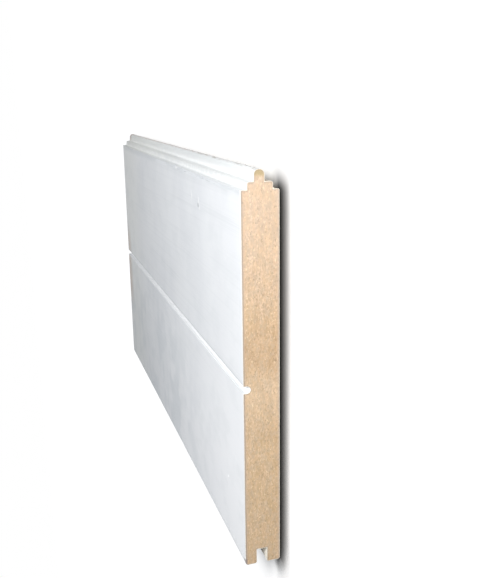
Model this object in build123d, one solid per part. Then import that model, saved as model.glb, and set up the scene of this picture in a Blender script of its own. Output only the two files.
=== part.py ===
"""A tongue and groove wall board, milled along its whole length from one piece of fibreboard.

The board lies flat on its back. X runs along it, +Y runs across it towards the tongue, and +Z
points out of its face. The origin is on the back, under the middle of the board. Boards of this
kind go up edge to edge: the tongue of one enters the groove of the next until the shoulders
meet. The face then shows a row of equal planks, with a channel as wide as the milled one at
each joint. All sizes are in millimetres.
"""
import os

from build123d import *

# The blank that the board is milled from.
board_length = 340.0
board_thickness = 18.0

# The face is split into two equal planks by a round-bottomed channel.
plank_width = 91.5
channel_width = 3.5
channel_depth = 3.5

# At the tongue edge both faces are rebated back to a shoulder.
rebate_depth = 3.0
rebate_root_radius = 1.3
shoulder_radius = 1.0

# The tongue stands on the shoulder, and the groove takes it with a running clearance. Both
# share one centre line, so that the faces of two joined boards are level.
centre_line_below_face = 8.6
tongue_thickness = 5.0
tongue_length = 5.5
tongue_nose_radius = 2.3
groove_side_clearance = 0.2
groove_end_gap = 2.3
groove_root_radius = 0.4

# The sharp edges left by the cutters are eased, most of all on the lips of the groove. The lip on
# the face is rounded outside too, so that a joint shows as a soft line.
face_edge_radius = 0.4
lip_face_radius = 1.5
front_lip_radius = 1.0
back_lip_radius = 0.3
back_edge_radius = 1.0

# Places across the board, from the groove edge, and heights above the back.
channel_low = plank_width
channel_high = channel_low + channel_width
face_width = channel_high + plank_width
cover_width = face_width + channel_width
overall_width = cover_width + tongue_length
groove_depth = tongue_length + groove_end_gap
centre_height = board_thickness - centre_line_below_face
tongue_bottom = centre_height - tongue_thickness / 2
tongue_top = centre_height + tongue_thickness / 2
groove_bottom = tongue_bottom - groove_side_clearance
groove_top = tongue_top + groove_side_clearance
shoulder_bottom = rebate_depth
shoulder_top = board_thickness - rebate_depth

# Primer fills the two roots of the tongue. A lip is eased by its root's radius less the clearance,
# so that it goes home against the shoulder without riding on the fillet.
front_root_radius = front_lip_radius + groove_side_clearance
back_root_radius = back_lip_radius + groove_side_clearance

# Each shoulder is flat between the tongue's root and its own outer corner. The narrower one sets
# how large those two can be.
narrow_shoulder = min(tongue_bottom - shoulder_bottom, shoulder_top - tongue_top)
largest_on_shoulder = 0.49 * narrow_shoulder


def rectangle(low, high):
    """A rectangle of the section between two corners, each (place across, height)."""
    middle = ((low[0] + high[0]) / 2, (low[1] + high[1]) / 2)
    return Pos(*middle) * Rectangle(high[0] - low[0], high[1] - low[1])


def stepped_blank():
    """The full section up to the shoulder, less the rebate in each face."""
    blank = rectangle((0, 0), (cover_width, board_thickness))
    back_rebate = rectangle((face_width, 0), (cover_width, shoulder_bottom))
    face_rebate = rectangle((face_width, shoulder_top), (cover_width, board_thickness))
    return blank - back_rebate - face_rebate


def tongue():
    """The tongue, from its root on the shoulder to its nose."""
    return rectangle((cover_width, tongue_bottom), (overall_width, tongue_top))


def groove():
    """The groove that takes the next board's tongue, open at the groove edge."""
    return rectangle((0, groove_bottom), (groove_depth, groove_top))


def channel():
    """The round-bottomed channel down the middle of the face."""
    nose_radius = channel_width / 2
    nose_height = board_thickness - channel_depth + nose_radius
    sides = rectangle((channel_low, nose_height), (channel_high, board_thickness))
    nose = Pos((channel_low + channel_high) / 2, nose_height) * Circle(nose_radius)
    return sides + nose


def rounded(section, radius, corners):
    """The section with the corners at these points rounded to one radius."""
    vertices = [section.vertices().sort_by_distance((*corner, 0))[0] for corner in corners]
    return fillet(vertices, radius)


def board_section():
    """The whole outline of the board, as seen on its sawn end."""
    section = stepped_blank() + tongue() - groove() - channel()

    # The tongue edge, from the nose inwards.
    section = rounded(section, tongue_nose_radius,
                      [(overall_width, tongue_bottom), (overall_width, tongue_top)])
    section = rounded(section, min(back_root_radius, largest_on_shoulder),
                      [(cover_width, tongue_bottom)])
    section = rounded(section, min(front_root_radius, largest_on_shoulder),
                      [(cover_width, tongue_top)])
    section = rounded(section, min(shoulder_radius, largest_on_shoulder),
                      [(cover_width, shoulder_bottom), (cover_width, shoulder_top)])
    section = rounded(section, rebate_root_radius,
                      [(face_width, shoulder_bottom), (face_width, shoulder_top)])

    # The groove edge, from the bottom of the groove outwards.
    section = rounded(section, groove_root_radius,
                      [(groove_depth, groove_bottom), (groove_depth, groove_top)])
    section = rounded(section, lip_face_radius, [(0, board_thickness)])
    section = rounded(section, front_lip_radius, [(0, groove_top)])
    section = rounded(section, back_lip_radius, [(0, groove_bottom)])
    section = rounded(section, back_edge_radius, [(0, 0)])

    # The edges of the channel, and of the rebates in the face and the back.
    return rounded(section, face_edge_radius,
                   [(channel_low, board_thickness), (channel_high, board_thickness),
                    (face_width, board_thickness), (face_width, 0)])


def board():
    """The board: its section, centred across the origin and run out to both sawn ends."""
    centred = Pos(-overall_width / 2, 0) * board_section()
    return extrude(Plane.YZ * centred, board_length / 2, both=True)


os.makedirs("parts", exist_ok=True)
solid = board()
export_step(solid, "parts/board.step")
print("cover width", cover_width, "overall width", overall_width)
print("volume in cubic millimetres", round(solid.volume))
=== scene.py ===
# %% [markdown]
# # A primed tongue and groove board
#
# This board is fibreboard, pressed from wood fibre, milled along its whole length and sprayed
# with white primer. The one thing that gives it its shape is its section: a tongue on one edge, a
# groove in the other, and a channel down the middle that makes one board look like two planks.
# The two ends are sawn across after spraying, so they show the raw board with a line of primer
# round it.
#
# The file first mixes the finishes. Then it works as the factory does: it runs the section along
# the board, saws the ends, and adds the small faults of the primer. Last, it sets up the studio.

from math import radians

import bmesh
import bpy
import numpy as np
from mathutils import Matrix, Vector, geometry


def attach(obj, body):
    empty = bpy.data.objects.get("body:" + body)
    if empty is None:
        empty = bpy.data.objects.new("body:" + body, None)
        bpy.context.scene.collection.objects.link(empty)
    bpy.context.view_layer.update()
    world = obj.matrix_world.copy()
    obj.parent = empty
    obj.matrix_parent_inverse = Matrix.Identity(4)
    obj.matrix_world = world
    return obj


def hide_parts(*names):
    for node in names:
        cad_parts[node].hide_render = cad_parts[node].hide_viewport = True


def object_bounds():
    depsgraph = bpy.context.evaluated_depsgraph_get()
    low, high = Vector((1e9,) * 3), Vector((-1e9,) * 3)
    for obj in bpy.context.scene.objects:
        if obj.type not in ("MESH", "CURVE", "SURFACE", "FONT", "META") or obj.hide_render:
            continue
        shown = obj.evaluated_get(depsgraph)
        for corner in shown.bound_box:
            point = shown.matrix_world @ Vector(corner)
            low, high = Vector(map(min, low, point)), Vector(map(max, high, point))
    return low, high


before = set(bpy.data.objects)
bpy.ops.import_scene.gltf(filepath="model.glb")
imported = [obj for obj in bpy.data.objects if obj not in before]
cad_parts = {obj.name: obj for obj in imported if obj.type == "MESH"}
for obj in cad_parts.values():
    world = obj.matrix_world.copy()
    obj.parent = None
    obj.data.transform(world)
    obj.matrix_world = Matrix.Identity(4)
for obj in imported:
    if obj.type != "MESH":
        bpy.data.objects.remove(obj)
cad_low, cad_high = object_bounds()
MM = 0.001
print("board, mm:", [round(side / MM, 1) for side in cad_high - cad_low])

# %% [markdown]
# ## The sizes of the section
#
# A section is drawn from the edge that the cutter sets its fence against. Here that is the
# groove edge, and heights count from the back. The length, the thickness and the overall width
# come from the frame. The rest are the workshop sizes of this pattern.

# %% Sizes in millimetres
length = (cad_high.x - cad_low.x) / MM
overall_width = (cad_high.y - cad_low.y) / MM
thickness = (cad_high.z - cad_low.z) / MM

channel_width = 3.5
channel_depth = 3.5
rebate_depth = 3.0
rebate_width = 3.5
tongue_length = 5.5
tongue_thickness = 5.0
groove_clearance = 0.2
groove_end_gap = 2.3
centre_line_below_face = 8.6

cover_width = overall_width - tongue_length
face_width = cover_width - rebate_width
plank_width = (face_width - channel_width) / 2
groove_depth = tongue_length + groove_end_gap
tongue_high = thickness - centre_line_below_face + tongue_thickness / 2
tongue_low = tongue_high - tongue_thickness
groove_high = tongue_high + groove_clearance
groove_low = tongue_low - groove_clearance
print("planks of", plank_width, "mm, cover width", cover_width, "mm")

# %% [markdown]
# ## The corners
#
# The outline needs only its corners, each with the radius that eases it. A corner is rounded
# twice here. The first radius is what the eye sees, the surface of the primer. The second is the
# fibreboard under it. They differ most where primer pools: in an inner corner the cutter leaves
# the board sharp, and the wet primer fills it with a fillet.

# %% Corners of the section
primer_film = 0.18
cut_sharp = 0.15
channel_nose = channel_width / 2
rebate_high = thickness - rebate_depth
channel_bottom = thickness - channel_depth
channel_far = plank_width + channel_width

# across, height, radius of the primer, radius of the board under it
corners = [
    (0, 0, 1.0, 0.8),
    (face_width, 0, 0.4, cut_sharp),
    (face_width, rebate_depth, 1.3, cut_sharp),
    (cover_width, rebate_depth, 1.0, 0.8),
    (cover_width, tongue_low, 0.5, cut_sharp),
    (overall_width, tongue_low, 2.3, 2.1),
    (overall_width, tongue_high, 2.3, 2.1),
    (cover_width, tongue_high, 1.2, cut_sharp),
    (cover_width, rebate_high, 1.0, 0.8),
    (face_width, rebate_high, 1.3, cut_sharp),
    (face_width, thickness, 0.4, cut_sharp),
    (channel_far, thickness, 0.4, cut_sharp),
    (channel_far, channel_bottom, channel_nose, channel_nose + primer_film),
    (plank_width, channel_bottom, channel_nose, channel_nose + primer_film),
    (plank_width, thickness, 0.4, cut_sharp),
    (0, thickness, 1.5, 0.9),
    (0, groove_high, 1.0, 0.8),
    (groove_depth, groove_high, 0.4, cut_sharp),
    (groove_depth, groove_low, 0.4, cut_sharp),
    (0, groove_low, 0.3, cut_sharp),
]
places = np.array([corner[:2] for corner in corners], dtype=float)
primer_radii, board_radii = np.array([corner[2:] for corner in corners]).T
print(len(corners), "corners")

# %% [markdown]
# ## Helpers for node trees
#
# Every node tree in this file, for shapes and for materials, is built by one function that adds a
# node, gives it its settings and fills its inputs. Three more start a tree that makes a shape, end
# it, and run it on a mesh. The result is turned into a plain mesh at once, because the later steps
# and the export need plain meshes. The rest help to mix a finish: out of random patches, strips
# with soft edges, and thin washes of one colour over another.

# %% A helper that adds a node
MATHS = "ShaderNodeMath"
VECTOR = "ShaderNodeVectorMath"
RANGE = "ShaderNodeMapRange"
MIX = "ShaderNodeMix"


def add(tree, kind, inputs=(), **settings):
    """Adds a node with its settings, and returns its outputs. inputs are values or other nodes'
    outputs, in the order of the node's sockets, or in a dictionary under their names."""
    made = tree.nodes.new(kind)
    for name, value in settings.items():
        setattr(made, name, value)
    named = inputs.items() if isinstance(inputs, dict) else enumerate(inputs)
    for socket, value in named:
        if isinstance(value, bpy.types.NodeSocket):
            tree.links.new(value, made.inputs[socket])
        else:
            made.inputs[socket].default_value = value
    return made.outputs


# %% Helpers for trees that make a shape
def start_tree(name, sizes):
    """A new Geometry Nodes tree with these named inputs and a finish, and its inputs' sockets."""
    tree = bpy.data.node_groups.new(name, "GeometryNodeTree")
    new_socket = tree.interface.new_socket
    new_socket("Geometry", in_out="OUTPUT", socket_type="NodeSocketGeometry")
    new_socket("Geometry", in_out="INPUT", socket_type="NodeSocketGeometry")
    for label, value in sizes.items():
        kind = "NodeSocketInt" if isinstance(value, int) else "NodeSocketFloat"
        new_socket(label, in_out="INPUT", socket_type=kind).default_value = value
    new_socket("Finish", in_out="INPUT", socket_type="NodeSocketMaterial")
    return tree, add(tree, "NodeGroupInput")


def end_tree(tree, shape, finish):
    """Ends a tree the way that the export needs: instances made real, and a material set."""
    real = add(tree, "GeometryNodeRealizeInstances", [shape])
    dressed = add(tree, "GeometryNodeSetMaterial", {"Geometry": real[0], "Material": finish})
    add(tree, "NodeGroupOutput", [dressed[0]])


def run_tree(tree, mesh, **values):
    """Runs a tree on a mesh, with values for its inputs, and returns a plain mesh."""
    holder = bpy.data.objects.new(tree.name, mesh)
    bpy.context.scene.collection.objects.link(holder)
    modifier = holder.modifiers.new(tree.name, "NODES")
    modifier.node_group = tree
    for item in tree.interface.items_tree:
        key = item.name.replace(" ", "_").lower()
        if item.in_out == "INPUT" and key in values:
            modifier[item.identifier] = values[key]
    graph = bpy.context.evaluated_depsgraph_get()
    result = bpy.data.meshes.new_from_object(holder.evaluated_get(graph))
    bpy.data.objects.remove(holder)
    return result


# %% Helpers for the finishes
def colour(hex_code):
    """An sRGB hex colour as the linear values that a shader takes."""
    channels = [int(hex_code[place:place + 2], 16) / 255 for place in (1, 3, 5)]
    linear = [part / 12.92 if part <= 0.04045 else ((part + 0.055) / 1.055) ** 2.4 for part in channels]
    return (*linear, 1.0)


def mottle(tree, place, pitch, faint=0.2, full=0.8, detail=3.0, roughness=0.55, slide=(0, 0, 0)):
    """Random patches from 0 to 1, with a pitch in mm on X, Y and Z. slide moves them along."""
    scale = Vector([1 / (part * MM) for part in pitch])
    scaled = add(tree, VECTOR, (place, scale, Vector(slide)), operation="MULTIPLY_ADD")
    patches = add(tree, "ShaderNodeTexNoise", {
        "Vector": scaled[0], "Scale": 1.0, "Detail": detail, "Roughness": roughness})
    return add(tree, RANGE, (patches[0], faint, full), interpolation_type="SMOOTHSTEP")[0]


def strip(tree, value, low, high, soft):
    """1 between two values, and 0 from a soft distance outside them."""
    after_low = add(tree, RANGE, (value, low - soft, low), interpolation_type="SMOOTHSTEP")
    before_high = add(tree, RANGE, (value, high + soft, high), interpolation_type="SMOOTHSTEP")
    return add(tree, MATHS, (after_low[0], before_high[0]), operation="MULTIPLY")[0]


def wash(tree, under, tint, amount, *masks):
    """A thin wash of one colour over another, as strong as the amount times all the masks. A colour
    is a hex code, linear values or a node's output."""
    under, tint = (colour(part) if isinstance(part, str) else part for part in (under, tint))
    for mask in masks:
        amount = add(tree, MATHS, (amount, mask), operation="MULTIPLY")[0]
    share, first, second, result = 0, 6, 7, 2  # a Mix node's sockets when it mixes colours
    return add(tree, MIX, {share: amount, first: under, second: tint}, data_type="RGBA")[result]


def start_finish(name):
    """A new material, its empty tree, the place of each point, and the same in mm: along the board
    from its middle on X, across it from the groove edge on Y, and up from the back on Z."""
    finish = bpy.data.materials.new(name)
    finish.use_nodes = True
    tree = finish.node_tree
    tree.nodes.clear()
    place = add(tree, "ShaderNodeTexCoord")["Object"]
    per_mm, groove_edge = Vector((1, 1, 1)) / MM, Vector((0, overall_width / 2, 0))
    placed = add(tree, VECTOR, (place, per_mm, groove_edge), operation="MULTIPLY_ADD")[0]
    return finish, tree, place, add(tree, "ShaderNodeSeparateXYZ", [placed])


print("white primer in linear values:", [round(part, 3) for part in colour("#F1F3F5")[:3]])

# %% [markdown]
# ## Finish: sprayed water-based primer on fibreboard
#
# The primer is a flat white acrylic with a trace of blue, sprayed on and scuff sanded once. On the
# faces it is smooth and a little cloudy, with faint streaks along the feed. On the milled edges
# the cut fibres drink it and stand up, so it is rougher there, and on the crest of the tongue it
# is rubbed thin enough for the brown board to show.
#
# A flat white would look like plastic. The cloudiness is only a few parts in a hundred, but it
# is what tells the eye that a wide white face is paint.

# %% Material: primer, and where each part of the board is
primer, paint, place, axes = start_finish("sprayed_water_based_primer")
along_mm, across_mm, height_mm = axes["X"], axes["Y"], axes["Z"]

beyond = 999  # further out than any point of the board
on_face = strip(paint, height_mm, thickness - 0.1, beyond, 0.2)
past_face = strip(paint, across_mm, face_width, beyond, 0.5)
in_body = strip(paint, height_mm, 0.5, thickness - 0.5, 0.4)
milled_part = add(paint, MATHS, (past_face, in_body), operation="MAXIMUM")[0]

# %% Material: the cloudy white of the face
clouds = mottle(paint, place, (34, 60, 60), 0.28, 0.72, detail=2.0)
laps = mottle(paint, place, (24, 150, 60), 0.30, 0.75, detail=1.0)
streaks = mottle(paint, place, (130, 1.7, 2.2), 0.46, 0.76, detail=4.0)
white = wash(paint, "#E6E9ED", "#EDF0F3", clouds)
white = wash(paint, white, "#F0F2F4", 0.28, laps)
white = wash(paint, white, "#D8DCE0", 0.3, streaks)

# %% Material: how the white changes along the board
# Painted light and shade: the near end is painted whiter, most of all on the lower plank, and the far
# end of the lower plank is painted greyer.
lower = strip(paint, across_mm, -beyond, 30, 100)
near = strip(paint, along_mm, 150, beyond, 190)
far = strip(paint, along_mm, -beyond, -150, 170)
white = wash(paint, white, "#FAFCFF", 0.9, lower, near)
near_end = strip(paint, along_mm, 165, beyond, 90)
white = wash(paint, white, "#FAFBFC", 0.3, near_end)
white = wash(paint, white, "#D6DADE", 0.6, lower, far)

# Away from the near end the gun's passes over the lower plank show as soft grey patches.
passes = mottle(paint, place, (25, 28, 20), 0.42, 0.62, detail=2.0)
not_near = strip(paint, along_mm, -beyond, 0, 140)

# The far end stood in an older stack, and its white has lost the blue.
far_end = strip(paint, along_mm, -beyond, -150, 80)
white = wash(paint, white, "#F6F8F4", 0.6, far_end)
blotches = mottle(paint, place, (18, 14, 10), 0.45, 0.70)
white = wash(paint, white, "#CDD3D7", 0.15, blotches)
white = wash(paint, white, "#BCC5CC", 0.33, lower, passes, not_near)
low_corner = strip(paint, across_mm, -beyond, 50, 40)
white = wash(paint, white, "#C3C8CB", 0.3, low_corner, far_end)

# Its last edge is worn about the channel, so a trace of brown shows through.
last_edge = strip(paint, along_mm, -beyond, -166, 18)
worn = strip(paint, across_mm, 66, 100, 25)
white = wash(paint, white, "#C2AE9F", 0.6, last_edge, worn)

# %% Material: the sander's hairlines
# They lie in bands, where the sander dragged a grain along the board.
hairlines = mottle(paint, place, (90, 0.9, 3), 0.42, 0.62, detail=3.0)
for band_low, band_high, where in ((167, 171, near), (channel_far, channel_far + 3, near),
                                   (115, 119, strip(paint, along_mm, -40, 20, 40))):
    band = strip(paint, across_mm, band_low, band_high, 2.5)
    white = wash(paint, white, "#CDD2D6", 0.22, band, hairlines, where)

# %% Material: the milled edges
# There the fibres lie across the feed, and the film is thicker and isn't sanded.
nap = mottle(paint, place, (1.6, 12, 12), 0.40, 0.70)
cut_white = wash(paint, "#E2E4E3", "#EDEEEC", nap)
white = wash(paint, white, cut_white, 0.8, milled_part)

# %% Material: painted shade and handling on the milled edges
# Painted shade darkens the two ledges that face the tongue's edge, and the crest is greyer from
# handling.
tongue_side = strip(paint, across_mm, cover_width + 1.2, beyond, 1.0)
white = wash(paint, white, "#F4F6F6", 0.6, tongue_side)
ledge = strip(paint, across_mm, cover_width - 0.6, cover_width + 0.4, 0.6)
ledge_height = strip(paint, height_mm, tongue_high + 0.8, rebate_high - 0.4, 0.6)
white = wash(paint, white, "#C6C9C9", 0.45, ledge, ledge_height)
step = strip(paint, across_mm, face_width - 0.2, face_width + 0.4, 0.4)
step_height = strip(paint, height_mm, rebate_high + 0.8, thickness, 0.6)
white = wash(paint, white, "#C9CDD0", 0.4, step, step_height)
to_crest = strip(paint, across_mm, overall_width, beyond, tongue_length - 1)
white = wash(paint, white, "#C3C7C9", 0.35, to_crest)
gripped = strip(paint, along_mm, 50, 125, 40)
white = wash(paint, white, "#C3C7C9", 0.3, to_crest, gripped)
far_half = strip(paint, along_mm, -beyond, -120, 160)
white = wash(paint, white, "#F8F9F4", 0.45, milled_part, far_half)

# %% Material: the channel
# The spray fills the channel with a thick clean coat.
channel_middle = plank_width + channel_width / 2
half_channel = channel_width / 2
from_channel = add(paint, MATHS, (across_mm, channel_middle), operation="SUBTRACT")[0]
below_face = strip(paint, height_mm, -beyond, thickness - 0.8, 0.6)
in_channel = strip(paint, from_channel, -half_channel - 0.15, half_channel + 0.15, 0.1)
white = wash(paint, white, "#FBFCFD", in_channel, below_face)

# %% Material: the lips of the channel
# On the lower lip, painted shade darkens its top towards the near end, and the lip is whiter in the far
# half.
near_face_top = strip(paint, height_mm, thickness - 0.9, beyond, 0.7)
lower_lip = strip(paint, from_channel, -half_channel - 0.5, -half_channel + 0.3, 0.2)
white = wash(paint, white, "#D6DADC", 0.85, lower_lip, near_face_top, near)
white = wash(paint, white, "#F6F8FA", 0.7, lower_lip, far_half)

# In between, painted shade darkens the bottom, which the upper lip hides from the light, and a painted
# highlight whitens the bend of the lower lip.
between = strip(paint, along_mm, -70, 130, 45)
deep = strip(paint, height_mm, -beyond, thickness - 2.6, 0.5)
white = wash(paint, white, "#CDD1D4", 0.5, in_channel, deep, between)
lip_bend = strip(paint, from_channel, -half_channel - 0.1, -half_channel + 0.3, 0.15)
white = wash(paint, white, "#FBFCFD", 0.6, lip_bend, between)

# A thin grey line of painted shade runs along the upper edge of the channel, in patches.
upper_edge_shade = strip(paint, from_channel, half_channel + 0.5, half_channel + 1.0, 0.3)
shade_patches = mottle(paint, place, (70, 20, 20), 0.30, 0.60)
shade_strength = add(paint, MATHS, (shade_patches, 0.3, 0.6), operation="MULTIPLY_ADD")[0]
white = wash(paint, white, "#BAC0C4", 0.6, upper_edge_shade, shade_strength)

# %% Material: where the spray hardly reaches
# In the groove, and behind the tongue, the coat is thin and cream.
groove_depth_part = strip(paint, across_mm, 0.2, groove_depth, 0.2)
groove_height_part = strip(paint, height_mm, groove_low, groove_high, 0.2)
white = wash(paint, white, "#FBF5E9", groove_depth_part, groove_height_part)
behind = strip(paint, height_mm, -beyond, tongue_low + 0.3, 0.5)
starved_white = wash(paint, "#E6DCCB", "#F6EFE2", nap)
white = wash(paint, white, starved_white, past_face, behind)

# %% Material: the rubbed crest of the tongue
# It is rubbed in handling, so the brown board shows in a thin line, broken up at the near end.
crest = strip(paint, across_mm, overall_width - 0.15, beyond, 0.5)
flecks = mottle(paint, place, (3.2, 1.5, 0.9), 0.42, 0.60, detail=4.0, roughness=0.7)
less_near = add(paint, MATHS, (near, -0.8, 1.0), operation="MULTIPLY_ADD")[0]
white = wash(paint, white, "#CFA998", 0.42, crest, flecks, less_near)
specks = mottle(paint, place, (10, 2.0, 1.2), 0.50, 0.58, detail=3.0, roughness=0.7)
white = wash(paint, white, "#827C6C", 0.7, crest, specks, near)

# The last edge of the tongue, at the far end, is worn brown too.
tongue_end = strip(paint, along_mm, -beyond, -167, 7)
white = wash(paint, white, "#B79A8C", 0.45, tongue_side, tongue_end)

# Some of the fibres that stand up past the crest are bare.
stray = strip(paint, across_mm, overall_width + 0.15, beyond, 0.1)
white = wash(paint, white, "#8F8474", 0.85, stray, specks)

# %% Material: a grey band and scuffs just below the edge of the face
from_edge = add(paint, MATHS, (face_width, across_mm), operation="SUBTRACT")[0]
# A soft grey band, in patches, darkens the face along its edge.
grey_edge_band = strip(paint, from_edge, 0, 0.8, 4.7)
patchy = mottle(paint, place, (60, 4, 5), 0.28, 0.58)
white = wash(paint, white, "#C5CACD", 0.45, grey_edge_band, on_face, patchy)
scuff_line = strip(paint, from_edge, 0.9, 1.5, 0.45)
dashes = mottle(paint, place, (7, 0.8, 5), 0.50, 0.62, detail=4.0, roughness=0.65)
scuff_reach = strip(paint, along_mm, 62, 88, 85)
some_scuffs = add(paint, MATHS, (scuff_reach, 0.9, 0.1), operation="MULTIPLY_ADD")[0]
white = wash(paint, white, "#A3A7A9", 0.45, scuff_line, dashes, some_scuffs, on_face)

# The saw leaves a clean white line along its cut.
clean_cut = strip(paint, along_mm, 168.8, beyond, 1.4)
white = wash(paint, white, "#FAFBFC", 0.5, clean_cut, on_face)

# %% Material: the lip of the groove
# The board was stood on the lip, and its corner is knocked. Painted shade darkens the lip's rounded
# edge, which turns away from the light.
shaded_lip_edge = strip(paint, across_mm, -beyond, 1.4, 0.4)
groove_middle = (groove_low + groove_high) / 2
lip_height = strip(paint, height_mm, groove_middle, beyond, 1)
white = wash(paint, white, "#A2A7AB", 0.75, shaded_lip_edge, lip_height)
corner_along = strip(paint, along_mm, 168.0, beyond, 0.8)
corner_across = strip(paint, across_mm, -beyond, 2.6, 0.6)
white = wash(paint, white, "#A09896", 0.85, corner_along, corner_across, lip_height)

# %% Material: runs and nibs
# Where the primer stands above the face it is thicker, and painted whiter as a highlight. The dark spot
# on the drop is painted shade, with dirt caught in it.
raised = strip(paint, height_mm, thickness + 0.03, beyond, 0.05)
white = wash(paint, white, "#FDFDFD", 0.55, raised)
drop_along = strip(paint, along_mm, 91.6, 93.2, 0.8)
drop_across = strip(paint, across_mm, 169.2, 170.4, 0.8)
white = wash(paint, white, "#9BA1A5", 0.7, drop_along, drop_across, on_face)

# %% Material: the surface of the primer
peel = mottle(paint, place, (1.4, 1.4, 1.4), 0.0, 1.0, detail=2.0)
drag = mottle(paint, place, (40, 0.5, 0.5), 0.0, 1.0, detail=2.0)
stubble = add(paint, MATHS, (nap, milled_part), operation="MULTIPLY")[0]
smooth_part = add(paint, MATHS, (peel, drag), operation="ADD")[0]
height = add(paint, MATHS, (stubble, 4.0, smooth_part), operation="MULTIPLY_ADD")[0]
bump = add(paint, "ShaderNodeBump", {"Strength": 0.3, "Distance": 0.02 * MM, "Height": height})[0]
gloss = wash(paint, (0.52, 0.52, 0.52, 1), (0.8, 0.8, 0.8, 1), milled_part)
coat = add(paint, "ShaderNodeBsdfPrincipled", {
    "Base Color": white, "Roughness": gloss, "IOR": 1.5, "Normal": bump})
add(paint, "ShaderNodeOutputMaterial", [coat[0]])
print(len(paint.nodes), "nodes in the primer")

# %% [markdown]
# ## Finish: sawn fibreboard
#
# Medium density fibreboard is softwood fibre and resin, hot pressed. Sawn across it shows no
# growth rings, only felted fibre. The fibres lie flat in the board, so on the cut they show as
# short soft flecks along its width, pale where a bundle was cut and dark where there is bark or
# resin. Patches a few millimetres wide drift between pink and olive. The press makes the outer
# millimetre on both sides denser and greyer.

# %% Material: sawn fibreboard
sawn, felt, place, axes = start_finish("sawn_fibreboard")
across_mm, height_mm = axes["Y"], axes["Z"]
fibres = mottle(felt, place, (1.0, 1.6, 0.8), 0.34, 0.66, detail=4.0, roughness=0.6)
tan = wash(felt, "#BA9F80", "#E6CAAD", fibres)
bundles = mottle(felt, place, (5, 11, 3.2), 0.38, 0.62, detail=2.0)
tan = wash(felt, tan, "#BA9D7C", 0.55, bundles)
olive = mottle(felt, place, (30, 14, 7), 0.40, 0.62, detail=2.0)
tan = wash(felt, tan, "#CFB085", 0.32, olive)
greener = strip(felt, across_mm, -beyond, 40, 110)
tan = wash(felt, tan, "#CBB389", 0.2, greener)
pinker = strip(felt, across_mm, 185, beyond, 75)
tan = wash(felt, tan, "#E6D2C3", 0.38, pinker)

# The resin varies across the board: a band beside the channel is rich in it, and the next is poor.
resin_rich = strip(felt, across_mm, 108, 118, 16)
tan = wash(felt, tan, "#B08E68", 0.28, resin_rich)
resin_poor = strip(felt, across_mm, 86, 92, 14)
tan = wash(felt, tan, "#F2DABC", 0.22, resin_poor)

# %% Material: the flecks of the sawn board
# They are pale bundles, long veins, grey dust, and specks of bark.
pale = mottle(felt, place, (1.0, 1.7, 0.7), 0.56, 0.68, roughness=0.6)
tan = wash(felt, tan, "#FDE6BE", 0.58, pale)
veins = mottle(felt, place, (2, 7, 1.8), 0.40, 0.62, detail=2.0)
tan = wash(felt, tan, "#E0C09C", 0.38, veins)
greyer = mottle(felt, place, (1.8, 2.8, 1.5), 0.46, 0.62, detail=3.0)
tan = wash(felt, tan, "#C4B29B", 0.38, greyer)
dark = mottle(felt, place, (0.8, 1.4, 0.8), 0.38, 0.30, detail=2.0, roughness=0.5)
tan = wash(felt, tan, "#93806A", 0.42, dark)

# %% Material: the dense outer layers and the tip of the tongue
dense_back = strip(felt, height_mm, -beyond, 0.2, 1.4)
dense_face = strip(felt, height_mm, thickness - 0.2, beyond, 1.4)
dense = add(felt, MATHS, (dense_back, dense_face), operation="ADD")[0]
tan = wash(felt, tan, "#CDB9A8", 0.55, dense)
# Along the face the cut is darker still: the dense layer, and painted shade.
face_edge_dark = strip(felt, height_mm, thickness - 0.5, beyond, 0.6)
tan = wash(felt, tan, "#A0948A", 0.55, face_edge_dark)
tip = strip(felt, across_mm, overall_width - 1.5, beyond, 3.0)
tan = wash(felt, tan, "#B09F73", 0.75, tip)

# The last fraction of a millimetre is packed tight by the cutter, and soaked by the primer.
rim = add(felt, "ShaderNodeAttribute", attribute_name="rim")["Fac"]
tan = wash(felt, tan, "#A0938F", 0.5, rim)

# The corner on which the board was stood is knocked and soiled.
knock_across = strip(felt, across_mm, -beyond, 2.6, 1.2)
knock_height = strip(felt, height_mm, thickness - 0.7, beyond, 0.5)
tan = wash(felt, tan, "#9A8F8A", 0.8, knock_across, knock_height)
fuzz = add(felt, "ShaderNodeBump", {"Strength": 0.25, "Distance": 0.1 * MM, "Height": fibres})[0]
raw = add(felt, "ShaderNodeBsdfPrincipled", {
    "Base Color": tan, "Roughness": 0.95, "IOR": 1.5, "Specular IOR Level": 0.3, "Normal": fuzz})
add(felt, "ShaderNodeOutputMaterial", [raw[0]])
print(len(felt.nodes), "nodes in the sawn board")

# %% Material: primer cut by the saw
# Seen on its cut, the film is cream, because saw dust is rubbed into it. The knocked corner is grey.
cut_primer, film, place, axes = start_finish("sawn_water_based_primer")
dusty = mottle(film, place, (0.8, 0.8, 0.8), 0.35, 0.65)
cream = wash(film, "#E9DFCB", "#F8F1DF", dusty)
knock_across = strip(film, axes["Y"], -beyond, 3.4, 0.8)
knock_height = strip(film, axes["Z"], thickness - 1.6, beyond, 0.4)
cream = wash(film, cream, "#968D8B", 0.85, knock_across, knock_height)
chalk = add(film, "ShaderNodeBsdfPrincipled", {"Base Color": cream, "Roughness": 0.9, "IOR": 1.5})
add(film, "ShaderNodeOutputMaterial", [chalk[0]])
print("the film is", primer_film, "mm thick on the flat")

# %% [markdown]
# ## Running the section along the board
#
# A spindle moulder makes this shape in one pass: every cutter leaves the same outline from one end
# to the other. Geometry Nodes can work the same way. The tree takes the loop of corners, rounds
# each by its own radius, and runs the outline along a line. It could also be an extruded face,
# but here the length, the radii and the spacing of the points stay inputs that can be changed.
#
# Points stand closer on the narrow edges than on the wide faces, and closer near the sawn ends
# than in the middle, because that is where the eye looks for detail.

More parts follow.
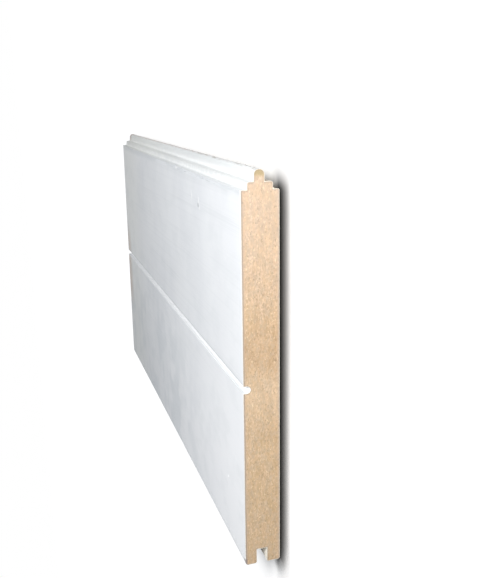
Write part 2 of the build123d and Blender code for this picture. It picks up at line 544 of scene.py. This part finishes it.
# %% Tree: the milled board, rounded corners
milled_tree, given = start_tree("Milled board", {
    "Length": 1.0, "Stations": 100, "Crowding": 1.3, "Arc steps": 6, "Fine spacing": 0.001,
    "Wide spacing": 0.003})


def milled(kind, inputs=(), **settings):
    return add(milled_tree, kind, inputs, **settings)


loop = milled("GeometryNodeMeshToCurve", [given["Geometry"]])
radius = milled("GeometryNodeInputNamedAttribute", {"Name": "corner_radius"}, data_type="FLOAT")
eased = milled("GeometryNodeFilletCurve", {
    "Curve": loop[0], "Count": given["Arc steps"], "Radius": radius[0], "Limit Radius": True},
    mode="POLY")

# %% Tree: points along each straight edge
here = milled("GeometryNodeInputPosition")[0]
index = milled("GeometryNodeInputIndex")[0]
following = milled("GeometryNodeOffsetPointInCurve", {"Point Index": index, "Offset": 1})
there = milled("GeometryNodeFieldAtIndex", {
    "Value": here, "Index": following["Point Index"]}, data_type="FLOAT_VECTOR")[0]
edge = milled(VECTOR, (here, there), operation="DISTANCE")["Value"]
edge_pieces = 24  # an edge has about this many, unless its spacing reaches a limit
share = milled(MATHS, (edge, edge_pieces), operation="DIVIDE")[0]
spacing = milled("ShaderNodeClamp", (share, given["Fine spacing"], given["Wide spacing"]))[0]
pieces = milled(MATHS, (edge, spacing), operation="DIVIDE")[0]
cuts = milled("FunctionNodeFloatToInt", [pieces], rounding_mode="FLOOR")[0]
divided = milled("GeometryNodeSubdivideCurve", {"Curve": eased[0], "Cuts": cuts})

# The two arcs of a full-round channel end in the same point, so doubles are merged here.
wire = milled("GeometryNodeCurveToMesh", [divided[0]])
merged = milled("GeometryNodeMergeByDistance", {"Geometry": wire[0], "Distance": 0.001 * MM})
section = milled("GeometryNodeMeshToCurve", [merged[0]])

# %% Tree: the run along the length
half = milled(MATHS, (given["Length"], 0.5), operation="MULTIPLY")[0]
line = milled("GeometryNodeCurvePrimitiveLine", {
    "Start": Vector((-1, 0, 0)), "End": Vector((1, 0, 0))}, mode="POINTS")
stations = milled("GeometryNodeResampleCurve", {
    "Curve": line[0], "Count": given["Stations"]}, mode="COUNT")
even = milled("ShaderNodeSeparateXYZ", [milled("GeometryNodeInputPosition")[0]])["X"]
angle = milled(MATHS, (even, given["Crowding"]), operation="MULTIPLY")[0]
crowded = milled(MATHS, [angle], operation="SINE")[0]
widest = milled(MATHS, [given["Crowding"]], operation="SINE")[0]
unit = milled(MATHS, (crowded, widest), operation="DIVIDE")[0]
spot = milled("ShaderNodeCombineXYZ", [milled(MATHS, (unit, half), operation="MULTIPLY")[0]])[0]
path = milled("GeometryNodeSetPosition", {"Geometry": stations[0], "Position": spot})
upright = milled("GeometryNodeSetCurveNormal", {
    "Curve": path[0], "Normal": Vector((0, 1, 0))}, mode="FREE")
skin = milled("GeometryNodeCurveToMesh", {
    "Curve": upright[0], "Profile Curve": section[0], "Fill Caps": False})
end_tree(milled_tree, skin[0], given["Finish"])
print(len(milled_tree.nodes), "nodes in the tree of the milled board")


# %% The skin of primer, from one sawn end to the other
def corner_loop(spots, radii):
    """A closed loop of corners in the XY plane, each with its radius."""
    mesh = bpy.data.meshes.new("corners")
    centred = [((across - overall_width / 2) * MM, height * MM, 0) for across, height in spots]
    mesh.from_pydata(centred, [(n, (n + 1) % len(spots)) for n in range(len(spots))], [])
    layer = mesh.attributes.new("corner_radius", "FLOAT", "POINT")
    layer.data.foreach_set("value", [radius * MM for radius in radii])
    return mesh


def run_out(spots, radii, count):
    """The board's skin from end to end: its points, ring after ring, and its faces."""
    mesh = run_tree(
        milled_tree, corner_loop(spots, radii), length=length * MM, stations=count,
        crowding=radians(78), arc_steps=6, fine_spacing=0.9 * MM, wide_spacing=2.6 * MM,
        finish=primer)
    flat = np.empty(len(mesh.vertices) * 3)
    mesh.vertices.foreach_get("co", flat)
    return flat.reshape(count, -1, 3) / MM, [tuple(face.vertices) for face in mesh.polygons]


ring_count = 110
rings, skin_faces = run_out(places, primer_radii, ring_count)
print(len(rings), "rings of", len(rings[0]), "points,", len(skin_faces), "faces")

# %% [markdown]
# ## The sawn ends
#
# A saw cuts straight through primer and board, so an end shows both. The line of the board under
# the primer is the same outline with every corner moved inwards by the film, and with its own
# radii: the same tree draws it. The end is then filled with small triangles that keep both lines.
# A grid fill or an n-gon would also close it, but only points strewn over the whole end can later
# be pressed in to make the torn felt of the fibre.

# %% The line between primer and board
before = np.roll(places, 1, axis=0) - places
after = np.roll(places, -1, axis=0) - places
into = [np.array((-step[1], step[0])) / np.linalg.norm(step) for step in after]
into_before = [np.array((step[1], -step[0])) / np.linalg.norm(step) for step in before]
board_places = places + primer_film * (np.array(into) + np.array(into_before))
film_line = run_out(board_places, board_radii, 2)[0][0][:, 1:]  # the first of two rings
print("board under the primer:", film_line.min(axis=0), film_line.max(axis=0))


# %% Points strewn over the end
def inside(points, loop):
    """Which points lie inside a closed loop, by counting the edges above each."""
    start, end = loop, np.roll(loop, -1, axis=0)
    x, y = points[:, None, 0], points[:, None, 1]
    spans = (start[:, 0] > x) != (end[:, 0] > x)
    run = np.where(end[:, 0] == start[:, 0], 1, end[:, 0] - start[:, 0])
    level = start[:, 1] + (x - start[:, 0]) * (end[:, 1] - start[:, 1]) / run
    return (spans & (y < level)).sum(axis=1) % 2 == 1


def clearance(points, loop):
    """How far each point is from the nearest edge of a closed loop."""
    start, step = loop, np.roll(loop, -1, axis=0) - loop
    offset = points[:, None] - start
    share = np.clip((offset * step).sum(axis=2) / (step ** 2).sum(axis=1), 0, 1)
    return np.linalg.norm(offset - share[..., None] * step, axis=2).min(axis=1)


end_pitch = 0.62
jitter = 0.3  # of a pitch
film_gap = 0.5  # the same, between the film's line and the nearest point
random = np.random.default_rng(11)
grid = np.mgrid[-overall_width / 2:overall_width / 2:end_pitch, 0:thickness:end_pitch]
strewn = grid.reshape(2, -1).T
strewn = strewn + random.uniform(-jitter, jitter, strewn.shape) * end_pitch
strewn = strewn[inside(strewn, film_line)]
strewn = strewn[clearance(strewn, film_line) > film_gap * end_pitch]
print(len(strewn), "points inside each sawn end")


# %% Filling the ends
def loop_edges(count, first=0):
    return [(first + n, first + (n + 1) % count) for n in range(count)]


ring_size = len(rings[0])
outline = rings[0][:, 1:]
flat_points = np.vstack([outline, film_line, strewn])
both_lines = loop_edges(ring_size) + loop_edges(len(film_line), ring_size)
inside_lines = 1  # the function's code for triangles inside the given lines only
filled = geometry.delaunay_2d_cdt(
    [Vector(point) for point in flat_points], both_lines, [], inside_lines, 1e-6, True)
triangles = np.array([[filled[3][corner][0] for corner in face] for face in filled[2]])
assert len(filled[0]) == len(flat_points)

centres = flat_points[triangles].mean(axis=1)
triangles = triangles[inside(centres, outline)]  # the rebates, the groove and the channel stay open
in_board = inside(flat_points[triangles].mean(axis=1), film_line)
print(len(triangles), "triangles,", in_board.sum(), "of them on bare board")

# %% One closed mesh
points = rings.reshape(-1, 3)
skin_count = len(points)
added = flat_points[ring_size:]
end_faces = []
for end, end_place, winding in ((0, -length / 2, -1), (ring_count - 1, length / 2, 1)):
    first_ring_point = end * ring_size
    first_added = len(points)
    points = np.vstack([points, np.column_stack([np.full(len(added), end_place), added])])
    numbers = np.where(
        triangles < ring_size, triangles + first_ring_point, triangles - ring_size + first_added)
    end_faces += [tuple(face[::winding]) for face in numbers.tolist()]

board_mesh = bpy.data.meshes.new("board")
board_mesh.from_pydata(points * MM, [], skin_faces + end_faces)
finishes = [primer, sawn, cut_primer]
for finish in finishes:
    board_mesh.materials.append(finish)
end_slots = np.where(in_board, finishes.index(sawn), finishes.index(cut_primer))
slots = np.concatenate([np.zeros(len(skin_faces), dtype=int), end_slots, end_slots])
board_mesh.polygons.foreach_set("material_index", slots)

shell = bmesh.new()
shell.from_mesh(board_mesh)
bmesh.ops.recalc_face_normals(shell, faces=shell.faces)
print("open edges:", sum(not edge.is_manifold for edge in shell.edges))
print("volume, cubic mm:", round(shell.calc_volume() / MM ** 3))
shell.to_mesh(board_mesh)
shell.free()

# %% [markdown]
# ## Relief
#
# Two kinds of relief make the surface real. A sprayed face is never quite flat: it has waves a few
# hundredths of a millimetre high from the sanding drum. A sawn end is torn felt, a tenth of a
# millimetre deep. Bump alone would shade alike, but would leave the exported mesh flat. So the
# points themselves are pressed along their normals, and inwards, to keep the board within its size.
#
# Two attributes say how far each point gives way. Both are 0 on the sawn edges, which stay crisp,
# and the skin is left alone about the channel, which the cutter leaves dead straight. A third,
# the rim, tells the finish of the sawn board where the film's line is.

# %% How far each point gives way
from_end = length / 2 - np.abs(points[:, 0])
across_board = points[:, 1] + overall_width / 2
kept_straight = 0.5  # mm of the face, on both sides of the channel
fade = 2.0
from_cut = np.abs(across_board - channel_middle) - half_channel - kept_straight
skin_give = np.clip(np.minimum(from_end, from_cut) / fade, 0, 1)
skin_give[skin_count:] = 0
is_strewn = np.concatenate([np.zeros(len(film_line)), np.ones(len(strewn))])
sawn_give = np.concatenate([np.zeros(skin_count), is_strewn, is_strewn])
rim = np.concatenate([np.zeros(skin_count), 1 - is_strewn, 1 - is_strewn])
for name, values in (("skin_give", skin_give), ("sawn_give", sawn_give), ("rim", rim)):
    board_mesh.attributes.new(name, "FLOAT", "POINT").data.foreach_set("value", values)

# %% Tree: relief
relief_tree, given = start_tree("Relief", {"Wave depth": 0.0, "Tear depth": 0.0})
surface = add(relief_tree, "GeometryNodeInputPosition")[0]
waves = mottle(relief_tree, surface, (38, 30, 30), 0.0, 1.0)
tears = mottle(relief_tree, surface, (1.0, 2.6, 1.0), 0.0, 1.0)
inwards = 0.0
for name, depth, pattern in (("skin_give", given["Wave depth"], waves),
                             ("sawn_give", given["Tear depth"], tears)):
    give = add(relief_tree, "GeometryNodeInputNamedAttribute", {"Name": name}, data_type="FLOAT")[0]
    pressed = add(relief_tree, MATHS, (give, pattern), operation="MULTIPLY")[0]
    pressed = add(relief_tree, MATHS, (pressed, depth), operation="MULTIPLY")[0]
    inwards = add(relief_tree, MATHS, (inwards, pressed), operation="SUBTRACT")[0]
normal = add(relief_tree, "GeometryNodeInputNormal")[0]
offset = add(relief_tree, VECTOR, {0: normal, "Scale": inwards}, operation="SCALE")[0]
pressed_in = add(relief_tree, "GeometryNodeSetPosition", {
    "Geometry": given["Geometry"], "Offset": offset})
# The mesh already has its three finishes, so this tree sets none.
real = add(relief_tree, "GeometryNodeRealizeInstances", [pressed_in[0]])
add(relief_tree, "NodeGroupOutput", [real[0]])

board_mesh = run_tree(relief_tree, board_mesh, wave_depth=0.08 * MM, tear_depth=0.1 * MM)
print("pressed in:", len(board_mesh.vertices), "points")

# %% [markdown]
# ## Runs and nibs
#
# Too much primer near the tongue edge ran down the face twice while the board stood on its groove
# edge, and one run ends in a drop. Dust left a few nibs in the film. All are low beads of paint, so
# one small tree makes them: it pulls a ball into a drop and sets one on each point it is given.

# %% Tree: beads of primer
bead_tree, given = start_tree("Beads of primer", {"Taper": 0.5, "Detail": 4})


def bead(kind, inputs=(), **settings):
    return add(bead_tree, kind, inputs, **settings)


ball = bead("GeometryNodeMeshIcoSphere", {"Radius": 1.0, "Subdivisions": given["Detail"]})
parts = bead("ShaderNodeSeparateXYZ", [bead("GeometryNodeInputPosition")[0]])
up_share = bead(MATHS, (parts["Y"], 0.5, 0.5), operation="MULTIPLY_ADD")[0]
lost = bead(MATHS, (up_share, given["Taper"]), operation="MULTIPLY")[0]
narrow = bead(MATHS, (1.0, lost), operation="SUBTRACT")[0]
narrow_x = bead(MATHS, (parts["X"], narrow), operation="MULTIPLY")[0]
narrow_z = bead(MATHS, (parts["Z"], narrow), operation="MULTIPLY")[0]
pulled = bead("ShaderNodeCombineXYZ", (narrow_x, parts["Y"], narrow_z))[0]
drop = bead("GeometryNodeSetPosition", {"Geometry": ball[0], "Position": pulled})
size = bead("GeometryNodeInputNamedAttribute", {"Name": "size"}, data_type="FLOAT_VECTOR")[0]
lean = bead("GeometryNodeInputNamedAttribute", {"Name": "lean"}, data_type="FLOAT")[0]
swing = bead("ShaderNodeCombineXYZ", {"Z": lean})[0]
swing = bead("FunctionNodeEulerToRotation", [swing])[0]
beads = bead("GeometryNodeInstanceOnPoints", {
    "Points": given["Geometry"], "Instance": drop[0], "Rotation": swing, "Scale": size})
end_tree(bead_tree, beads[0], given["Finish"])


# %% Two runs, a drop and a few nibs
def bead_points(rows):
    """Points on the face: each row is along, across, width, length, height and lean, in mm."""
    mesh = bpy.data.meshes.new("bead points")
    ball_share = 0.2  # the part of the ball that stands above the face, so that its rim is low
    face_share = (1 - (1 - 2 * ball_share) ** 2) ** 0.5
    across, along = rows[:, 1], rows[:, 0]
    half_height = rows[:, 4] / ball_share / 2
    depth = thickness - half_height * (1 - 2 * ball_share) - 0.04
    mesh.from_pydata(np.column_stack([along, across, depth]) * MM, [], [])
    size = np.column_stack([rows[:, 2:4] / 2 / face_share, half_height]) * MM
    mesh.attributes.new("size", "FLOAT_VECTOR", "POINT").data.foreach_set("vector", size.ravel())
    mesh.attributes.new("lean", "FLOAT", "POINT").data.foreach_set("value", np.radians(rows[:, 5]))
    return mesh


runs = np.array([
    (76.6, 79.2, 3.0, 16.0, 0.38, 17),
    (92.6, 77.8, 3.2, 18.5, 0.38, 13),
    (95.3, 71.6, 3.0, 4.4, 0.42, 0),
])
nib_count = 18
nibs = np.column_stack([
    random.uniform(-160, 165, nib_count), random.uniform(-90, 86, nib_count),
    random.uniform(0.5, 1.1, nib_count), random.uniform(0.5, 1.1, nib_count),
    random.uniform(0.04, 0.09, nib_count), random.uniform(0, 90, nib_count)])

# Two stand out: a long one close to the tongue edge, and a round one on the lower plank.
nibs[0] = (40.2, 87.4, 5.4, 1.5, 0.42, 0)
nibs[1] = (141.7, -63.4, 1.6, 1.6, 0.28, 0)
off_channel = np.abs(nibs[:, 1] + overall_width / 2 - channel_middle) > channel_width
run_mesh = run_tree(bead_tree, bead_points(runs), taper=0.7, detail=5, finish=primer)
nib_mesh = run_tree(bead_tree, bead_points(nibs[off_channel]), taper=0.0, detail=3, finish=primer)
print("beads:", len(run_mesh.polygons) + len(nib_mesh.polygons), "faces")

# %% [markdown]
# ## Raised fibres
#
# The wet primer makes the cut fibres of the tongue edge stand up, and it is never sanded there, so
# the edge feels like fine stubble. Each fibre is a bent, pointed strand with three sides, the
# least that still looks round. A tree strews them by an attribute that says where the edge is
# furry. A real one is a twentieth of a millimetre thick, too fine to show, so these are coarser.

# %% Tree: raised fibres
fibre_tree, given = start_tree("Raised fibres", {
    "Count for each square metre": 1.0, "Shortest": 0.001, "Longest": 0.002, "Thickness": 0.1,
    "Seed": 0})


def fibre(kind, inputs=(), **settings):
    return add(fibre_tree, kind, inputs, **settings)


furry = fibre("GeometryNodeInputNamedAttribute", {"Name": "furry"}, data_type="FLOAT")[0]
density = fibre(MATHS, (furry, given["Count for each square metre"]), operation="MULTIPLY")[0]
roots = fibre("GeometryNodeDistributePointsOnFaces", {
    "Mesh": given["Geometry"], "Density": density, "Seed": given["Seed"]},
    distribute_method="RANDOM")
spine = fibre("GeometryNodeCurveQuadraticBezier", {
    "Resolution": 4, "Start": Vector((0, 0, -0.15)), "Middle": Vector((0, 0, 0.6)),
    "End": Vector((0.45, 0, 0.8))})
along_strand = fibre("GeometryNodeSplineParameter")["Factor"]
pointed = fibre(RANGE, (along_strand, 0.0, 1.0, 1.0, 0.15))[0]
round_part = fibre("GeometryNodeCurvePrimitiveCircle", {"Resolution": 3, "Radius": given["Thickness"]})
strand = fibre("GeometryNodeCurveToMesh", {
    "Curve": spine[0], "Profile Curve": round_part[0], "Scale": pointed, "Fill Caps": True})
spin = fibre("FunctionNodeRandomValue", {
    0: Vector((-0.5, -0.5, -3.14)), 1: Vector((0.5, 0.5, 3.14)), "Seed": given["Seed"]},
    data_type="FLOAT_VECTOR")[0]
spun = fibre("FunctionNodeEulerToRotation", [spin])[0]
turned = fibre("FunctionNodeRotateRotation", {
    "Rotation": roots["Rotation"], "Rotate By": spun}, rotation_space="LOCAL")[0]
fibre_length = fibre("FunctionNodeRandomValue", {
    2: given["Shortest"], 3: given["Longest"], "Seed": given["Seed"]}, data_type="FLOAT")[1]
strands = fibre("GeometryNodeInstanceOnPoints", {
    "Points": roots["Points"], "Instance": strand[0], "Rotation": turned, "Scale": fibre_length})
end_tree(fibre_tree, strands[0], given["Finish"])

# %% Where the edge is furry
on_tongue_edge = across_board > face_width + 0.6
on_tongue_side = (across_board > cover_width + 0.5) & on_tongue_edge
in_near_half = points[:, 0] > 20
on_crest = (across_board > overall_width - 1.2) & in_near_half
furry = 0.35 * on_tongue_edge + 0.65 * on_tongue_side + 0.8 * on_crest
furry[skin_count:] = 0
board_mesh.attributes.new("furry", "FLOAT", "POINT").data.foreach_set("value", furry)
fibre_mesh = run_tree(
    fibre_tree, board_mesh, count_for_each_square_metre=0.18 / MM ** 2, shortest=0.4 * MM,
    longest=1.0 * MM, thickness=0.12, seed=5, finish=primer)
print("raised fibres:", len(fibre_mesh.polygons), "faces")

# %% The board as a piece
whole = bmesh.new()
for part in (board_mesh, run_mesh, nib_mesh, fibre_mesh):
    numbers = [finishes.index(finish) if finish else 0 for finish in part.materials]
    for face in part.polygons:
        face.material_index = numbers[face.material_index]
    whole.from_mesh(part)
whole_mesh = bpy.data.meshes.new("primed_board")
whole.to_mesh(whole_mesh)
whole.free()
for finish in finishes:
    whole_mesh.materials.append(finish)
whole_mesh.polygons.foreach_set("use_smooth", [True] * len(whole_mesh.polygons))
whole_mesh.set_sharp_from_angle(angle=radians(40))
for name in ("skin_give", "sawn_give", "furry"):
    if name in whole_mesh.attributes:
        whole_mesh.attributes.remove(whole_mesh.attributes[name])

board = bpy.data.objects.new("primed_board", whole_mesh)
bpy.context.scene.collection.objects.link(board)
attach(board, "root")
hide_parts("board")
whole_mesh.calc_loop_triangles()
print("triangles:", len(whole_mesh.loop_triangles))

# %% [markdown]
# ## Floor and light
#
# A wide pale floor and a white surround, lit by one soft lamp in front of the near corner and by
# the white room itself. The lamp stands close, as a lamp on a product table does, so its light
# falls off along the board: the near end is almost white and the far end is grey.
#
# To the camera the floor has to look as white as the room, however far it is from the lamp, and
# still keep the board's shadow. So the floor glows for the camera alone, by just what the lamp
# doesn't give it at that distance.

# %% Lamp
lamp_place = Vector((520, 330, 390)) * MM
lamp_side = 300 * MM
lamp_level = 2.35  # white's brightness, face on, at the next distance
level_distance = 0.5
lamp_data = bpy.data.lights.new("soft_lamp", "AREA")
lamp_data.shape = "SQUARE"
lamp_data.size = lamp_side
lamp_data.energy = lamp_level * np.pi ** 2 * level_distance ** 2
lamp = bpy.data.objects.new("soft_lamp", lamp_data)
lamp.location = lamp_place
aim = Vector((120, 40, 10)) * MM
lamp.rotation_euler = (aim - lamp_place).to_track_quat("-Z", "Y").to_euler()
bpy.context.scene.collection.objects.link(lamp)

# %% The white room
room_level = 0.11
room = bpy.data.worlds.new("white_room")
bpy.context.scene.world = room
room.use_nodes = True
sky = room.node_tree
sky.nodes.clear()
ray = add(sky, "ShaderNodeLightPath")
seen = add(sky, MATHS, (ray["Is Camera Ray"], ray["Is Glossy Ray"]), operation="MAXIMUM")[0]
seen = add(sky, MATHS, (seen, ray["Is Transmission Ray"]), operation="MAXIMUM")[0]
level = add(sky, RANGE, (seen, 0.0, 1.0, room_level, 1.0))[0]
tint = wash(sky, (0.93, 0.98, 1.07, 1), (1, 1, 1, 1), seen)  # the shade of a room is a little blue
light = add(sky, "ShaderNodeBackground", (tint, level))
add(sky, "ShaderNodeOutputWorld", [light[0]])

# %% Floor
floor_side = 12.0
floor_mesh = bpy.data.meshes.new("floor")
side = floor_side / 2
floor_mesh.from_pydata(
    [(-side, -side, 0), (side, -side, 0), (side, side, 0), (-side, side, 0)], [], [(0, 1, 2, 3)])
floor = bpy.data.objects.new("floor", floor_mesh)
bpy.context.scene.collection.objects.link(floor)

table = bpy.data.materials.new("matt_white_table")
table.use_nodes = True
top = table.node_tree
top.nodes.clear()

# %% What the lamp doesn't give the floor
table_white = 0.5  # for the light that it throws back on the board
seen_white = 0.9  # for the camera, so that the lamp's own shadow shows
camera_white = 1.08
floor_place = add(top, "ShaderNodeTexCoord")["Object"]
gap = add(top, VECTOR, (floor_place, lamp_place), operation="SUBTRACT")[0]
distance = add(top, VECTOR, [gap], operation="LENGTH")["Value"]
facing = (aim - lamp_place).normalized()
towards = add(top, VECTOR, (gap, facing), operation="DOT_PRODUCT")["Value"]
towards = add(top, MATHS, (towards, 0.0), operation="MAXIMUM")[0]
far_off = add(top, MATHS, (distance, 4.0), operation="POWER")[0]
lamp_share = add(top, MATHS, (towards, far_off), operation="DIVIDE")[0]
lamp_strength = lamp_level * level_distance ** 2 * lamp_place.z * seen_white
lamp_share = add(top, MATHS, (lamp_share, lamp_strength), operation="MULTIPLY")[0]
missing = add(top, MATHS, (camera_white - seen_white * room_level, lamp_share), operation="SUBTRACT")[0]
missing = add(top, MATHS, (missing, 0.0), operation="MAXIMUM")[0]

# %% The board's soft shadow on the floor
# Close to the board the floor sees less of the room, which shows most in front of the near end.
shadow_reach = 16 * MM
shadow_contrast = 6.5
least_shade = 0.08  # at the other sides of the board
open_share = add(top, "ShaderNodeAmbientOcclusion", {"Distance": shadow_reach}, samples=16)["AO"]
shade = add(top, MATHS, (open_share, shadow_contrast), operation="POWER")[0]
axes = add(top, "ShaderNodeSeparateXYZ", [floor_place])
past_near_end = strip(top, axes["X"], length / 2 * MM, beyond, 12 * MM)
below_tongue = strip(top, axes["Y"], -beyond, 88 * MM, 12 * MM)
in_front = add(top, MATHS, (past_near_end, below_tongue), operation="MULTIPLY")[0]
shade_share = add(top, MATHS, (in_front, 1 - least_shade, least_shade), operation="MULTIPLY_ADD")[0]
light_share = add(top, MIX, {0: shade_share, 2: 1.0, 3: shade})[0]

# %% The floor's glow, for the camera alone
ray = add(top, "ShaderNodeLightPath")
seen = add(top, MATHS, (ray["Is Camera Ray"], ray["Is Glossy Ray"]), operation="MAXIMUM")[0]
missing = add(top, MATHS, (missing, light_share), operation="MULTIPLY")[0]
glow_strength = add(top, MATHS, (missing, seen), operation="MULTIPLY")[0]
glow = add(top, "ShaderNodeEmission", ((1, 1, 1, 1), glow_strength))
seen_shade = add(top, MATHS, (light_share, seen_white), operation="MULTIPLY")[0]
table_shade = add(top, MIX, {0: seen, 2: table_white, 3: seen_shade})[0]
matt = add(top, "ShaderNodeBsdfDiffuse", [table_shade])
lit_and_glowing = add(top, "ShaderNodeAddShader", (matt[0], glow[0]))
add(top, "ShaderNodeOutputMaterial", [lit_and_glowing[0]])
floor_mesh.materials.append(table)

# %% [markdown]
# ## Camera
#
# The board lies flat and the camera looks down on it from beyond the near end, rolled a quarter
# turn, so that the tongue edge is at the top of the picture. Its place was worked out from the
# corners of both sawn ends.

# %% Camera
eye = Vector((478.02, 128.79, 112.9)) * MM
forward = Vector((-0.92333, -0.25295, -0.28894))
right = Vector((0.30177, -0.01261, -0.9533))
picture_up = right.cross(forward)
camera_data = bpy.data.cameras.new("camera")
camera_data.sensor_width = 36
camera_data.lens = 46.15
camera_data.clip_start = 0.01
camera = bpy.data.objects.new("camera", camera_data)
turn = Matrix((right, picture_up, -forward)).transposed()
camera.matrix_world = Matrix.Translation(eye) @ turn.to_4x4()
bpy.context.scene.collection.objects.link(camera)
bpy.context.scene.camera = camera
bpy.context.scene.view_settings.view_transform = "Standard"
print("camera", [round(part / MM) for part in eye], "mm, lens", camera_data.lens, "mm")
